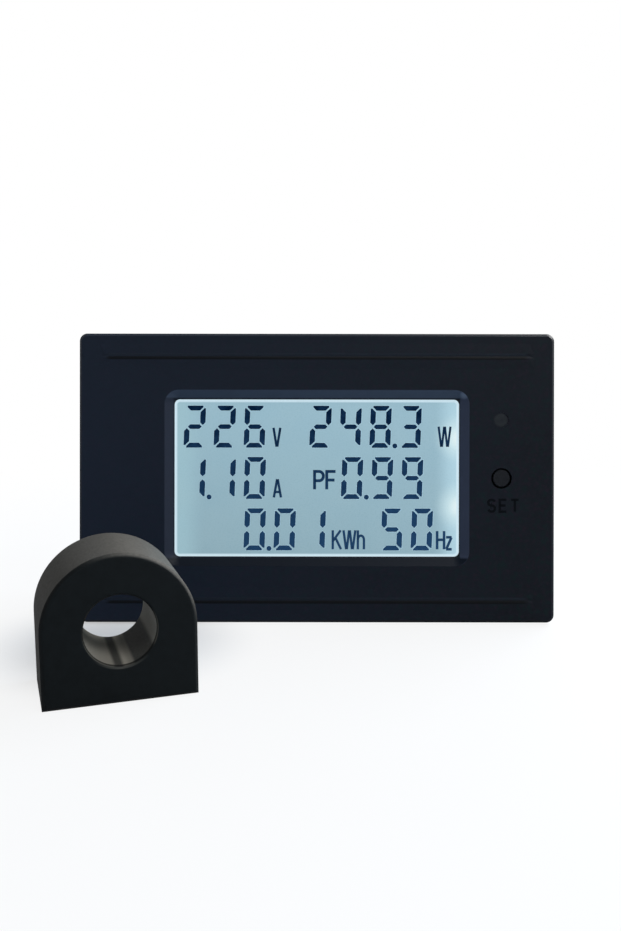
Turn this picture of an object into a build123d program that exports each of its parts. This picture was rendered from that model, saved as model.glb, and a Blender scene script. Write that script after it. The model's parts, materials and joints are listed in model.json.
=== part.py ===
from build123d import *
import math
import os

# A panel-mount meter for mains power, leaning on the rear edge of its box, with its
# separate current transformer standing in front of it. All sizes are in millimetres.
# The meter is drawn face up: X runs across the face, Y up the face and Z out of it
# towards the user, and Z = 0 is the panel that the bezel sits on.
# The transformer is drawn the same way, with Z = 0 at its front and Y = 0 at its base.

# Bezel: how far it stands out past the box at the sides and at the ends
RIM_SIDE = 4.1
RIM_END = 3.5
BEZEL_T = 3.0
BEZEL_CORNER = 1.45
EDGE_CHAMFER = 0.5

# Box behind the bezel. Its size comes from what it holds, worked out below
BOX_CORNER = 1.6
WALL = 1.5

# Window in the face, its bevelled surround and the sink lines over the box walls
WINDOW_W = 54.0
WINDOW_H = 29.8
WINDOW_CORNER = 1.0
BEVEL_W = 1.7
WINDOW_LIP = 0.3
FACE_T = 1.5
SINK_W = 0.8
SINK_DEPTH = 0.1

# Display, from front to back
GLASS_T = 1.1
GLASS_MARGIN = 2.7
POLARISER_T = 0.2
POLARISER_MARGIN = 1.4
CONTACT_LEDGE = 1.8
GUIDE_T = 2.5
GUIDE_MARGIN = 1.6
TRAY_WALL = 2.2
TRAY_BACK_T = 1.0
TRAY_FOOT_W = 2.6
TRAY_FOOT_H = 2.4
LED_LENGTH = 3.0
LED_WIDTH = 1.2
LED_HEIGHT = 1.6
LED_UP = 9.0
LED_DOWN = 6.0
PIN_COUNT = 14
PIN_PITCH = 2.54
PIN_W = 0.5
PIN_T = 0.25
PIN_TAIL = 1.0
PIN_HOLE_GAP = 0.15
PIN_EDGE = 2.125
FIT = 0.1

# Circuit board, its posts and screws
BOARD_T = 1.6
BOARD_EDGE_GAP = 0.6
POST_WALL = 1.5
POST_INSET_X = 3.3
POST_INSET_Y = 2.3
PILOT_GAP = 0.05
BOARD_HOLE_GAP = 0.25
BOARD_SCREW_R = 0.95
BOARD_SCREW_LENGTH = 6.0
BOARD_HEAD_R = 1.9
BOARD_HEAD_T = 1.4

# Button, its guide and the switch under it, which stands between the display and the box wall
BUTTON_Y = 0.0
BUTTON_R = 1.62
BUTTON_RING_GAP = 0.33
BUTTON_RECESS = 0.1
SHOULDER_OVERLAP = 0.75
BUTTON_SHOULDER_T = 1.0
BUTTON_TRAVEL = 0.3
BUTTON_EDGE = 0.15
GUIDE_CLEARANCE = 0.08
SLEEVE_WALL = 1.0
SLEEVE_LENGTH = 2.2
SEAT_GAP = 0.02
DIMPLE_Y = 11.0
DIMPLE_R = 1.4
DIMPLE_DEPTH = 0.12
SWITCH_SIZE = 6.0
SWITCH_TRAY_GAP = 1.0
SWITCH_WALL_GAP = 1.4
SWITCH_H = 3.5
PLUNGER_R = 1.7
PLUNGER_RISE = 0.8
PLUNGER_SINK = 0.8
PLUNGER_FLOOR = 0.5

# Rear cover
COVER_T = 1.5
COVER_SPARE = 0.9
COVER_RIB_W = 2.0
COVER_RIB_DEPTH = 0.9
COVER_RIB_PITCH = 21.0
COVER_RIB_SHIFT = -5.0
SNAP_W = 6.0
SNAP_T = 1.2
SNAP_REACH = 0.8
SNAP_DEPTH = 5.0
SNAP_PITCH = 21.0

# Terminals for the supply and the transformer leads
POLES = 4
POLE_PITCH = 8.5
BARRIER_T = 1.3
TERMINAL_RIB_T = 1.5
TERMINAL_SIDE_GAP = 0.4
TERMINAL_END_GAP = 0.4
BARRIER_SPARE = 0.4
TERMINAL_WINDOW_GAP = 0.4
PLATE_L = 9.0
PLATE_T = 1.0
PLATE_INNER_GAP = 0.7
PLATE_OUTER_GAP = 1.1
PLATE_SIDE_GAP = 0.3
PLATE_PIN_W = 1.4
CLAMP_INSET = 0.2
CLAMP_T = 0.8
CLAMP_HOLE_GAP = 0.1
SCREW_R = 1.5
THREAD_CLEARANCE = 0.03
SCREW_LENGTH = 5.6
SCREW_TIP_SPARE = 1.0
SCREW_HEAD_R = 2.7
SCREW_HEAD_T = 1.8
SCREW_CROSS_W = 0.8
SCREW_CROSS_L = 3.4
SCREW_CROSS_DEPTH = 1.0
SCREW_WELL_GAP = 0.4
SCREW_TRAVEL = 3.0

# Parts on the rear of the board. They stand in two rows from the terminals inwards
PART_GAP = 2.0
MAINS_GAP = 5.7
PART_EDGE_GAP = 3.9
LEG_W = 0.4
LEG_T = 0.2
LEG_FOOT = 0.9
CHIP_LIFT = 0.15
CHIP_H = 1.5
FINE_PITCH = 1.27
SMALL_CHIP_W = 3.9
METERING_CHIP_L = 10.0
METERING_LEGS = 8
MEMORY_CHIP_L = 4.9
MEMORY_LEGS = 4
CONTROLLER_L = 12.8
CONTROLLER_W = 7.5
CONTROLLER_H = 2.2
CONTROLLER_LEGS = 10
BRIDGE_L = 4.7
BRIDGE_W = 3.9
BRIDGE_H = 2.4
BRIDGE_LEGS = 2
BRIDGE_PITCH = 2.54
CRYSTAL_L = 11.0
CRYSTAL_W = 4.4
CRYSTAL_H = 3.4
FILM_L = 17.5
FILM_W = 7.5
FILM_H = 10.4
FILM_CORNER = 0.6
LEAD_W = 0.6
LEAD_OUT = 1.6
CAN_R = 4.0
CAN_L = 12.0
CAN_LIFT = 0.2
CAN_LEAD_PITCH = 2.5
DISC_R = 4.4
DISC_T = 3.6
DISC_LIFT = 1.0
DISC_LEAD_PITCH = 5.0
FUSE_R = 1.7
FUSE_L = 8.5
FUSE_LIFT = 0.3

# Snap latches that hold the box in its panel
LATCH_W = 8.0
LATCH_T = 1.2
LATCH_ROOT = 12.0
LATCH_TIP = 2.2
LATCH_REACH = 1.4
LATCH_RAMP = 5.5
LATCH_CATCH = 0.5
LATCH_SLOT_GAP = 0.6
LATCH_ROOT_GAP = 0.15

# Current transformer
CT_RING_T = 3.2
CT_D = 14.0
CT_BORE_R = 5.5
CT_FLAT = 0.3
CT_WALL = 1.3
CT_TUBE_WALL = 1.2
CT_EDGE = 0.5
CT_BORE_EDGE = 0.25
CT_BACK_T = 1.9
CT_BACK_RECESS = 0.4
CT_LEAD_SLOT_W = 5.0
CT_LEAD_SLOT_H = 1.8
CT_WINDING_T = 0.6
CT_WINDING_GAP = 0.3
CT_WINDING_OPEN = 40.0
CT_YAW = 18.6
CT_X = -29.6
CT_Y = -39.4

# Display and its tray, worked out from the window
FACE_BACK = BEZEL_T - FACE_T
BEVEL_DEPTH = FACE_T - WINDOW_LIP
GLASS_H = WINDOW_H + 2 * GLASS_MARGIN
GLASS_FRONT = FACE_BACK - POLARISER_T
REAR_GLASS_FRONT = GLASS_FRONT - GLASS_T
REAR_GLASS_BACK = REAR_GLASS_FRONT - GLASS_T
GUIDE_FRONT = REAR_GLASS_BACK - POLARISER_T
GUIDE_BACK = GUIDE_FRONT - GUIDE_T
GUIDE_W = WINDOW_W + 2 * GUIDE_MARGIN
GUIDE_H = WINDOW_H + 2 * GUIDE_MARGIN
TRAY_BACK = GUIDE_BACK - TRAY_BACK_T
TRAY_W = GUIDE_W + 2 * TRAY_WALL
TRAY_H = GUIDE_H + 2 * TRAY_WALL
LED_PLACES = (LED_UP, -LED_DOWN)
PIN_Y = -GLASS_H / 2 - CONTACT_LEDGE - PIN_T / 2
BOARD_FRONT = TRAY_BACK - TRAY_FOOT_H
BOARD_BACK = BOARD_FRONT - BOARD_T

# The box is as wide as the display with a switch at each end, as high as the display or
# the row of terminals, whichever needs more, and as deep as the tallest part on the board
TERMINAL_H = POLES * POLE_PITCH + BARRIER_T
BUTTON_X = TRAY_W / 2 + SWITCH_TRAY_GAP + SWITCH_SIZE / 2
INNER_W = 2 * (BUTTON_X + SWITCH_SIZE / 2 + SWITCH_WALL_GAP)
DISPLAY_ROOM = PIN_EDGE + BOARD_EDGE_GAP - PIN_Y
TERMINAL_ROOM = TERMINAL_H / 2 + TERMINAL_END_GAP + BOARD_HEAD_R + POST_INSET_Y
INNER_H = 2 * max(DISPLAY_ROOM, TERMINAL_ROOM)
BOX_W = INNER_W + 2 * WALL
BOX_H = INNER_H + 2 * WALL
TERMINAL_BASE_T = SCREW_LENGTH + SCREW_TIP_SPARE - PLATE_T - CLAMP_T
TERMINAL_RISE = SCREW_LENGTH + SCREW_TIP_SPARE + SCREW_HEAD_T + SCREW_TRAVEL + BARRIER_SPARE
PART_RISE = max(FILM_H, DISC_LIFT + 2 * DISC_R, CAN_LIFT + 2 * CAN_R, TERMINAL_RISE - COVER_T)
BOX_DEPTH = PART_RISE + COVER_SPARE + COVER_T - BOARD_BACK
BEZEL_W = BOX_W + 2 * RIM_SIDE
BEZEL_H = BOX_H + 2 * RIM_END

# Board, posts and cover
BOARD_W = INNER_W - 2 * BOARD_EDGE_GAP
BOARD_H = INNER_H - 2 * BOARD_EDGE_GAP
PILOT_R = BOARD_SCREW_R + PILOT_GAP
POST_R = PILOT_R + POST_WALL
POST_X = INNER_W / 2 - POST_INSET_X
POST_Y = INNER_H / 2 - POST_INSET_Y
COVER_FRONT = COVER_T - BOX_DEPTH
COVER_RIB_PLACES = [COVER_RIB_SHIFT + i * COVER_RIB_PITCH for i in (-1, 0, 1)]
SNAP_PLACES = [COVER_RIB_SHIFT + i * SNAP_PITCH for i in (-0.5, 0.5)]

# Button and switch
SHOULDER_FRONT = FACE_BACK - SEAT_GAP
BUTTON_SHOULDER_R = BUTTON_R + BUTTON_RING_GAP + SHOULDER_OVERLAP
SWITCH_TOP = BOARD_FRONT + SWITCH_H
PLUNGER_TOP = SWITCH_TOP + PLUNGER_RISE

# Terminals
PLATE_W = POLE_PITCH - BARRIER_T - 2 * PLATE_SIDE_GAP
CLAMP_SIZE = PLATE_W - 2 * CLAMP_INSET
CLAMP_HOLE_R = SCREW_R + CLAMP_HOLE_GAP
SCREW_X = INNER_W / 2 - TERMINAL_SIDE_GAP - PLATE_OUTER_GAP - PLATE_L / 2
TERMINAL_INNER_X = SCREW_X - PLATE_L / 2 - PLATE_INNER_GAP - TERMINAL_RIB_T
TERMINAL_TOP = BOARD_BACK - TERMINAL_BASE_T
PLATE_BACK = TERMINAL_TOP - PLATE_T
CLAMP_FRONT = PLATE_BACK - SEAT_GAP
CLAMP_BACK = CLAMP_FRONT - CLAMP_T
HEAD_FRONT = CLAMP_BACK - SEAT_GAP
HEAD_BACK = HEAD_FRONT - SCREW_HEAD_T
BARRIER_BACK = HEAD_BACK - SCREW_TRAVEL - BARRIER_SPARE

# Parts on the board: the mains side first, then the rest further from the terminals
PART_TOP = BOARD_H / 2 - PART_EDGE_GAP
FILM_X = TERMINAL_INNER_X - MAINS_GAP - FILM_L / 2
FILM_Y = PART_TOP - FILM_W / 2
FUSE_Y = FILM_Y - FILM_W / 2 - PART_GAP - FUSE_R
DISC_X = TERMINAL_INNER_X - MAINS_GAP - DISC_T / 2
DISC_Y = FUSE_Y - FUSE_R - PART_GAP - DISC_R
METERING_X = DISC_X - DISC_T / 2 - PART_GAP - METERING_CHIP_L / 2
BRIDGE_X = FILM_X - FILM_L / 2 - PART_GAP - BRIDGE_L / 2
CAN_X = BRIDGE_X - BRIDGE_L / 2 - PART_GAP - LEAD_OUT - LEAD_W / 2
CAN_Y = PART_TOP - CAN_R
CRYSTAL_X = CAN_X - CAN_L / 2
CRYSTAL_Y = CAN_Y - CAN_R - PART_GAP - CRYSTAL_W / 2
CONTROLLER_Y = CRYSTAL_Y - CRYSTAL_W / 2 - PART_GAP - CONTROLLER_W / 2 - LEG_FOOT
MEMORY_X = CRYSTAL_X - CONTROLLER_L / 2 - PART_GAP - MEMORY_CHIP_L / 2

# Transformer: the wound ring lies on its floor, and the sides stand off by the flat
CT_RING_R = CT_BORE_R + CT_TUBE_WALL + CT_WINDING_GAP
CT_BORE_Y = CT_RING_R + CT_RING_T + CT_WALL
CT_W = 2 * (CT_BORE_Y + CT_FLAT)
CT_LEAD_Y = (CT_WALL + CT_BORE_Y - CT_BORE_R - CT_TUBE_WALL) / 2

# The meter leans back on the rear edges of its bezel and its box
LEAN = math.degrees(math.atan2(RIM_END, BOX_DEPTH))


def block(x0, x1, y0, y1, z0, z1):
    """Box between two corners."""
    middle = Pos((x0 + x1) / 2, (y0 + y1) / 2, (z0 + z1) / 2)
    return middle * Box(x1 - x0, y1 - y0, z1 - z0)


def slab(width, height, corner, z0, z1):
    """Plate with rounded corners, centred on the face."""
    return Pos(0, 0, z0) * extrude(RectangleRounded(width, height, corner), z1 - z0)


def rod(radius, z0, z1, x=0.0, y=0.0):
    """Round bar along Z."""
    return Pos(x, y, z0) * extrude(Circle(radius), z1 - z0)


def pole_heights():
    """Place of each terminal up the face."""
    return [(i - (POLES - 1) / 2) * POLE_PITCH for i in range(POLES)]


def post_places():
    """The two posts of the board, in opposite corners."""
    return [(side * POST_X, side * POST_Y) for side in (-1, 1)]


def pin_places():
    return [(i - (PIN_COUNT - 1) / 2) * PIN_PITCH for i in range(PIN_COUNT)]


def bezel_plate():
    """Bezel with a broken front edge, and the window with the sloped surround in front of it."""
    plate = slab(BEZEL_W, BEZEL_H, BEZEL_CORNER, 0, BEZEL_T)
    plate = chamfer(plate.faces().sort_by(Axis.Z)[-1].edges(), EDGE_CHAMFER)
    plate -= slab(WINDOW_W, WINDOW_H, WINDOW_CORNER, 0, BEZEL_T)
    face = plate.faces().sort_by(Axis.Z)[-1]
    return chamfer(face.inner_wires()[0].edges(), BEVEL_W, BEVEL_DEPTH, reference=face)


def sink_line(side):
    """Shallow groove in the face, where the box wall behind it shrank."""
    groove = Polygon((-SINK_W / 2, 0), (SINK_W / 2, 0), (0, -SINK_DEPTH), align=None)
    run = Plane.YZ * groove
    length = BOX_W - WALL
    return Pos(-length / 2, side * (BOX_H - WALL) / 2, BEZEL_T) * extrude(run, length)


def latch_slot(side):
    """Gap in the box wall around one latch."""
    half = LATCH_W / 2 + LATCH_SLOT_GAP
    x0, x1 = sorted((side * (BOX_W / 2 - 2 * WALL), side * (BOX_W / 2 + WALL)))
    return block(x0, x1, -half, half, -LATCH_ROOT - LATCH_ROOT_GAP, -LATCH_TIP + LATCH_SLOT_GAP)


def snap_hooks(clearance=0.0):
    """Hooks of the rear cover, or with clearance the windows in the box that take them."""
    front = SNAP_DEPTH - BOX_DEPTH
    half = SNAP_W / 2 + clearance
    y0 = INNER_H / 2 - 2 * FIT
    y1 = INNER_H / 2 + SNAP_REACH + clearance
    hook = block(-half, half, y0, y1, front - SNAP_T - clearance, front + clearance)
    return [Pos(x, 0, 0) * turn * hook for x in SNAP_PLACES for turn in (Rot(), Rot(Z=180))]


def front_housing():
    """Bezel and box in one moulding, with its window, posts, button guide and wall cuts."""
    body = bezel_plate() + slab(BOX_W, BOX_H, BOX_CORNER, -BOX_DEPTH, 0)
    body -= block(-INNER_W / 2, INNER_W / 2, -INNER_H / 2, INNER_H / 2, -BOX_DEPTH, FACE_BACK)
    for x, y in post_places():
        x0, x1 = sorted((x, math.copysign(INNER_W / 2, x)))
        body += rod(POST_R, BOARD_FRONT, FACE_BACK, x, y)
        body += block(x0, x1, y - WALL / 3, y + WALL / 3, BOARD_FRONT, FACE_BACK)
        body -= rod(PILOT_R, BOARD_FRONT, BOARD_FRONT + BOARD_SCREW_LENGTH - BOARD_T, x, y)
    for x in COVER_RIB_PLACES:
        for side in (-1, 1):
            y0, y1 = sorted((side * INNER_H / 2, side * (INNER_H / 2 - COVER_RIB_DEPTH)))
            half = COVER_RIB_W / 2
            body += block(x - half, x + half, y0, y1, COVER_FRONT, BOARD_BACK - FIT)
    sleeve_r = BUTTON_SHOULDER_R + GUIDE_CLEARANCE
    body += rod(sleeve_r + SLEEVE_WALL, FACE_BACK - SLEEVE_LENGTH, FACE_BACK, BUTTON_X, BUTTON_Y)
    body -= rod(sleeve_r, FACE_BACK - SLEEVE_LENGTH, FACE_BACK, BUTTON_X, BUTTON_Y)
    body -= rod(BUTTON_R + BUTTON_RING_GAP, FACE_BACK, BEZEL_T, BUTTON_X, BUTTON_Y)
    body -= rod(DIMPLE_R, BEZEL_T - DIMPLE_DEPTH, BEZEL_T, BUTTON_X, BUTTON_Y + DIMPLE_Y)
    for side in (-1, 1):
        body -= sink_line(side)
        body -= latch_slot(side)
    for window in snap_hooks(FIT):
        body -= window
    half = TERMINAL_H / 2 + TERMINAL_WINDOW_GAP
    body -= block(INNER_W / 2 - WALL, BOX_W / 2 + WALL, -half, half, -BOX_DEPTH,
                  TERMINAL_TOP + TERMINAL_WINDOW_GAP)
    return body


def rear_cover():
    """Plate that closes the box, notched round the terminals, with tongues that snap in."""
    half_w = INNER_W / 2 - FIT
    half_h = INNER_H / 2 - FIT
    cover = block(-half_w, half_w, -half_h, half_h, -BOX_DEPTH, COVER_FRONT)
    half = TERMINAL_H / 2 + FIT
    cover -= block(TERMINAL_INNER_X - FIT, BOX_W, -half, half, -BOX_DEPTH, COVER_FRONT)
    edge = INNER_H / 2 - FIT
    tongue = block(-SNAP_W / 2, SNAP_W / 2, edge - SNAP_T, edge, COVER_FRONT, SNAP_DEPTH - BOX_DEPTH)
    for x in SNAP_PLACES:
        for turn in (Rot(), Rot(Z=180)):
            cover += Pos(x, 0, 0) * turn * tongue
    for hook in snap_hooks():
        cover += hook
    return cover


def display_layer(margin, ledge, front, thickness):
    """One flat layer of the display; the rear glass has a ledge below for its contacts."""
    half_w = WINDOW_W / 2 + margin
    half_h = WINDOW_H / 2 + margin
    return block(-half_w, half_w, -half_h - ledge, half_h, front - thickness, front)


def light_guide():
    """Clear plate behind the display, lit at its right-hand edge."""
    return block(-GUIDE_W / 2, GUIDE_W / 2, -GUIDE_H / 2, GUIDE_H / 2, GUIDE_BACK, GUIDE_FRONT)


def led_block(y, clearance=0.0):
    """One edge light, or with clearance the pocket in the tray that holds it."""
    x0 = GUIDE_W / 2 + FIT
    half = LED_LENGTH / 2 + clearance
    middle = (GUIDE_FRONT + GUIDE_BACK) / 2
    return block(x0 - clearance, x0 + LED_WIDTH + clearance, y - half, y + half,
                 middle - LED_HEIGHT / 2 - clearance, middle + LED_HEIGHT / 2 + clearance)


def backlight_tray():
    """White tray round the light guide, on four feet that stand on the board."""
    tray = block(-TRAY_W / 2, TRAY_W / 2, -TRAY_H / 2, TRAY_H / 2, TRAY_BACK, REAR_GLASS_BACK)
    tray -= block(-GUIDE_W / 2 - FIT, GUIDE_W / 2 + FIT, -GUIDE_H / 2 - FIT, GUIDE_H / 2 + FIT,
                  GUIDE_BACK, REAR_GLASS_BACK)
    for y in LED_PLACES:
        tray -= led_block(y, FIT / 2)
    for sx in (-1, 1):
        for sy in (-1, 1):
            x0, x1 = sorted((sx * TRAY_W / 2, sx * (TRAY_W / 2 - TRAY_FOOT_W)))
            y0, y1 = sorted((sy * TRAY_H / 2, sy * (TRAY_H / 2 - TRAY_FOOT_W)))
            tray += block(x0, x1, y0, y1, BOARD_FRONT, TRAY_BACK)
    return tray


def lcd_pin(x):
    """Flat pin clipped over the edge of the rear glass, with its tail through the board."""
    half = PIN_W / 2
    y0 = PIN_Y - PIN_T / 2
    y1 = PIN_Y + PIN_T / 2
    pin = block(x - half, x + half, y0, y1, BOARD_BACK - PIN_TAIL, REAR_GLASS_FRONT + PIN_T)
    return pin + block(x - half, x + half, y0, y1 + CONTACT_LEDGE / 2, REAR_GLASS_FRONT,
                       REAR_GLASS_FRONT + PIN_T)


def main_board():
    """Circuit board, with holes for its screws and for the display's pins."""
    board = block(-BOARD_W / 2, BOARD_W / 2, -BOARD_H / 2, BOARD_H / 2, BOARD_BACK, BOARD_FRONT)
    for x, y in post_places():
        board -= rod(BOARD_SCREW_R + BOARD_HOLE_GAP, BOARD_BACK, BOARD_FRONT, x, y)
    half_w = PIN_W / 2 + PIN_HOLE_GAP
    half_t = PIN_T / 2 + PIN_HOLE_GAP
    for x in pin_places():
        board -= block(x - half_w, x + half_w, PIN_Y - half_t, PIN_Y + half_t, BOARD_BACK, BOARD_FRONT)
    return board


def board_screw(x, y):
    """Self-tapping screw from the back of the board into a post."""
    shank = rod(BOARD_SCREW_R, BOARD_BACK, BOARD_BACK + BOARD_SCREW_LENGTH, x, y)
    return shank + rod(BOARD_HEAD_R, BOARD_BACK - BOARD_HEAD_T, BOARD_BACK, x, y)


def set_button():
    """Round key in the face, with the shoulder that keeps it in and the stem behind."""
    cap = rod(BUTTON_R, SHOULDER_FRONT, BEZEL_T - BUTTON_RECESS)
    cap = chamfer(cap.faces().sort_by(Axis.Z)[-1].edges(), BUTTON_EDGE)
    shoulder_back = SHOULDER_FRONT - BUTTON_SHOULDER_T
    shoulder = rod(BUTTON_SHOULDER_R, shoulder_back, SHOULDER_FRONT)
    stem = rod(BUTTON_R, PLUNGER_TOP, shoulder_back)
    return Pos(BUTTON_X, BUTTON_Y, 0) * (cap + shoulder + stem)


def switch_plunger():
    """Top of the push switch, which moves with the key."""
    low = SWITCH_TOP - PLUNGER_SINK
    return rod(PLUNGER_R, low, PLUNGER_TOP, BUTTON_X, BUTTON_Y)


def switch_base():
    """Case of the push switch on the board, with the well that the plunger moves in."""
    half = SWITCH_SIZE / 2
    case = block(-half, half, -half, half, BOARD_FRONT, SWITCH_TOP)
    case = chamfer(case.edges().filter_by(Axis.Z), SWITCH_SIZE / 12)
    floor = SWITCH_TOP - PLUNGER_SINK - BUTTON_TRAVEL - PLUNGER_FLOOR
    case -= rod(PLUNGER_R + GUIDE_CLEARANCE, floor, SWITCH_TOP)
    return Pos(BUTTON_X, BUTTON_Y, 0) * case


def chip(length, width, height, legs, pitch):
    """Moulded chip on Z = 0, with a row of sloping legs along each long side."""
    body = block(-length / 2, length / 2, -width / 2, width / 2, CHIP_LIFT, CHIP_LIFT + height)
    body = chamfer(body.faces().sort_by(Axis.Z)[-1].edges(), height / 8)
    knee = CHIP_LIFT + height / 2
    edge = width / 2
    outline = Polyline((edge, knee), (edge, knee - LEG_T), (edge + LEG_FOOT - LEG_T, 0), (edge + LEG_FOOT, 0),
                       (edge, knee))
    leg = extrude(Plane.YZ * make_face(outline), LEG_W / 2, both=True)
    for i in range(legs):
        for turn in (Rot(), Rot(Z=180)):
            body += turn * Pos((i - (legs - 1) / 2) * pitch, 0, 0) * leg
    return body


def on_board_back(piece, x, y, turn=0.0):
    """Put a piece drawn upright on Z = 0 on the rear of the board."""
    return Pos(x, y, BOARD_BACK) * Rot(Y=180) * Rot(Z=turn) * piece


def crystal():
    """Low metal can with round ends."""
    return extrude(SlotOverall(CRYSTAL_L, CRYSTAL_W), CRYSTAL_H)


def film_capacitor():
    """Moulded box capacitor that drops the mains voltage."""
    case = block(-FILM_L / 2, FILM_L / 2, -FILM_W / 2, FILM_W / 2, 0, FILM_H)
    return chamfer(case.edges().filter_by(Axis.Z) + case.faces().sort_by(Axis.Z)[-1].edges(), FILM_CORNER)


def bent_lead(start, side, height):
    """Lead from the end of a part lying along X, out and then down to the board."""
    half = LEAD_W / 2
    outline = Polyline((0, height - half), (LEAD_OUT - half, height - half), (LEAD_OUT - half, 0),
                       (LEAD_OUT + half, 0), (LEAD_OUT + half, height + half), (0, height + half),
                       (0, height - half))
    lead = extrude(Plane.XZ * make_face(outline), half, both=True)
    return Pos(start, 0, 0) * (lead if side > 0 else Rot(Z=180) * lead)


def smoothing_capacitor():
    """Can capacitor lying down, with its two leads bent to the board."""
    height = CAN_R + CAN_LIFT
    can = Pos(0, 0, height) * Rot(Y=90) * rod(CAN_R, 0, CAN_L)
    for side in (-1, 1):
        can += Pos(0, side * CAN_LEAD_PITCH / 2, 0) * bent_lead(0, -1, height)
    return can


def varistor():
    """Dipped disc standing on its two leads."""
    centre = DISC_R + DISC_LIFT
    disc = Pos(0, 0, centre) * Rot(X=90) * rod(DISC_R, -DISC_T / 2, DISC_T / 2)
    half = LEAD_W / 2
    for x in (-DISC_LEAD_PITCH / 2, DISC_LEAD_PITCH / 2):
        disc += block(x - half, x + half, -half, half, 0, centre)
    return disc


def fuse_resistor():
    """Cylindrical fusible resistor on two bent leads."""
    height = FUSE_R + FUSE_LIFT
    half = FUSE_L / 2
    body = Pos(0, 0, height) * Rot(Y=90) * rod(FUSE_R, -half, half)
    for side in (-1, 1):
        body += bent_lead(side * half, side, height)
    return body


def terminal_block():
    """Insulating base on the board, with a barrier on each side of every terminal."""
    half = TERMINAL_H / 2
    outer = BOX_W / 2 - FIT
    base = block(TERMINAL_INNER_X, INNER_W / 2 - TERMINAL_SIDE_GAP, -half, half, TERMINAL_TOP, BOARD_BACK)
    base += block(TERMINAL_INNER_X, TERMINAL_INNER_X + TERMINAL_RIB_T, -half, half,
                  BARRIER_BACK, TERMINAL_TOP)
    fin = block(TERMINAL_INNER_X, outer, -BARRIER_T / 2, BARRIER_T / 2, BARRIER_BACK, TERMINAL_TOP)
    corner = fin.edges().filter_by(Axis.Y).group_by(Axis.Z)[0].sort_by(Axis.X)[-1]
    fin = chamfer(corner, BARRIER_T)
    well = SCREW_R + SCREW_WELL_GAP
    for i in range(POLES + 1):
        base += Pos(0, (i - POLES / 2) * POLE_PITCH, 0) * fin
    for y in pole_heights():
        base -= block(SCREW_X - well, SCREW_X + well, y - well, y + well, TERMINAL_TOP, BOARD_BACK - FIT)
        base -= plate_pin(y, FIT / 2)
    return base


def plate_pin(y, clearance=0.0):
    """Solder pin of one terminal, through the base to the board."""
    half = PLATE_PIN_W / 2 + clearance
    x = SCREW_X - PLATE_L / 2 + PLATE_PIN_W / 2
    return block(x - half, x + half, y - half, y + half, TERMINAL_TOP, BOARD_BACK)


def terminal_plate(y):
    """Threaded metal plate of one terminal, with its solder pin."""
    plate = block(SCREW_X - PLATE_L / 2, SCREW_X + PLATE_L / 2, y - PLATE_W / 2, y + PLATE_W / 2,
                  PLATE_BACK, TERMINAL_TOP)
    plate += plate_pin(y)
    return plate - rod(SCREW_R + THREAD_CLEARANCE, PLATE_BACK, TERMINAL_TOP, SCREW_X, y)


def clamp_plate(y):
    """Square washer that the screw presses on the wire."""
    half = CLAMP_SIZE / 2
    plate = block(SCREW_X - half, SCREW_X + half, y - half, y + half, CLAMP_BACK, CLAMP_FRONT)
    return plate - rod(CLAMP_HOLE_R, CLAMP_BACK, CLAMP_FRONT, SCREW_X, y)


def terminal_screw(y):
    """Cross-head screw that runs in the terminal plate."""
    shank = rod(SCREW_R, HEAD_FRONT, HEAD_FRONT + SCREW_LENGTH)
    head = rod(SCREW_HEAD_R, HEAD_BACK, HEAD_FRONT)
    for length, width in ((SCREW_CROSS_L, SCREW_CROSS_W), (SCREW_CROSS_W, SCREW_CROSS_L)):
        head -= block(-length / 2, length / 2, -width / 2, width / 2,
                      HEAD_BACK, HEAD_BACK + SCREW_CROSS_DEPTH)
    return Pos(SCREW_X, y, 0) * (shank + head)


def latch(side):
    """Springy tongue in the box wall, whose ramp gives way to the panel and then holds it."""
    outer = BOX_W / 2
    inner = outer - LATCH_T
    tip = -LATCH_TIP
    root = -LATCH_ROOT
    outline = Polyline((inner, root), (outer, root), (outer, tip - LATCH_CATCH - LATCH_RAMP),
                       (outer + LATCH_REACH, tip - LATCH_CATCH), (outer + LATCH_REACH, tip),
                       (inner, tip), (inner, root))
    tongue = Plane.XZ * make_face(outline)
    tongue = extrude(tongue, LATCH_W / 2, both=True)
    return tongue if side > 0 else mirror(tongue, Plane.YZ)


def ct_outline(inset=0.0):
    """Transformer seen from the front: flat base, straight sides and a round top."""
    half = CT_W / 2 - inset
    sides = Polyline((-half, CT_BORE_Y), (-half, inset), (half, inset), (half, CT_BORE_Y))
    top = ThreePointArc((half, CT_BORE_Y), (0, CT_BORE_Y + half), (-half, CT_BORE_Y))
    return make_face([sides, top])


def ct_case():
    """Cup with a round top and a tube through its middle, open at the back."""
    case = Pos(0, 0, -CT_D) * extrude(ct_outline(), CT_D)
    case = chamfer(case.faces().sort_by(Axis.Z)[-1].edges(), CT_EDGE)
    case -= Pos(0, 0, -CT_D) * extrude(ct_outline(CT_WALL), CT_D - CT_WALL)
    case += rod(CT_BORE_R + CT_TUBE_WALL, -CT_D + CT_BACK_RECESS, -CT_WALL, 0, CT_BORE_Y)
    case -= rod(CT_BORE_R, -CT_D, 0, 0, CT_BORE_Y)
    rim = case.edges().filter_by(GeomType.CIRCLE).group_by(Axis.Z)[-1]
    rim = rim.filter_by(lambda e: abs(e.radius - CT_BORE_R) < FIT)
    return chamfer(rim, CT_BORE_EDGE)


def ct_back():
    """Sealing compound that closes the back of the case, with the slot for the two leads."""
    low = -CT_D + CT_BACK_RECESS
    plate = Pos(0, 0, low) * extrude(ct_outline(CT_WALL + FIT / 2), CT_BACK_T)
    plate -= rod(CT_BORE_R + CT_TUBE_WALL + FIT / 2, low, low + CT_BACK_T, 0, CT_BORE_Y)
    slot = extrude(SlotOverall(CT_LEAD_SLOT_W, CT_LEAD_SLOT_H), CT_BACK_T)
    return plate - Pos(0, CT_LEAD_Y, low) * slot


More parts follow.
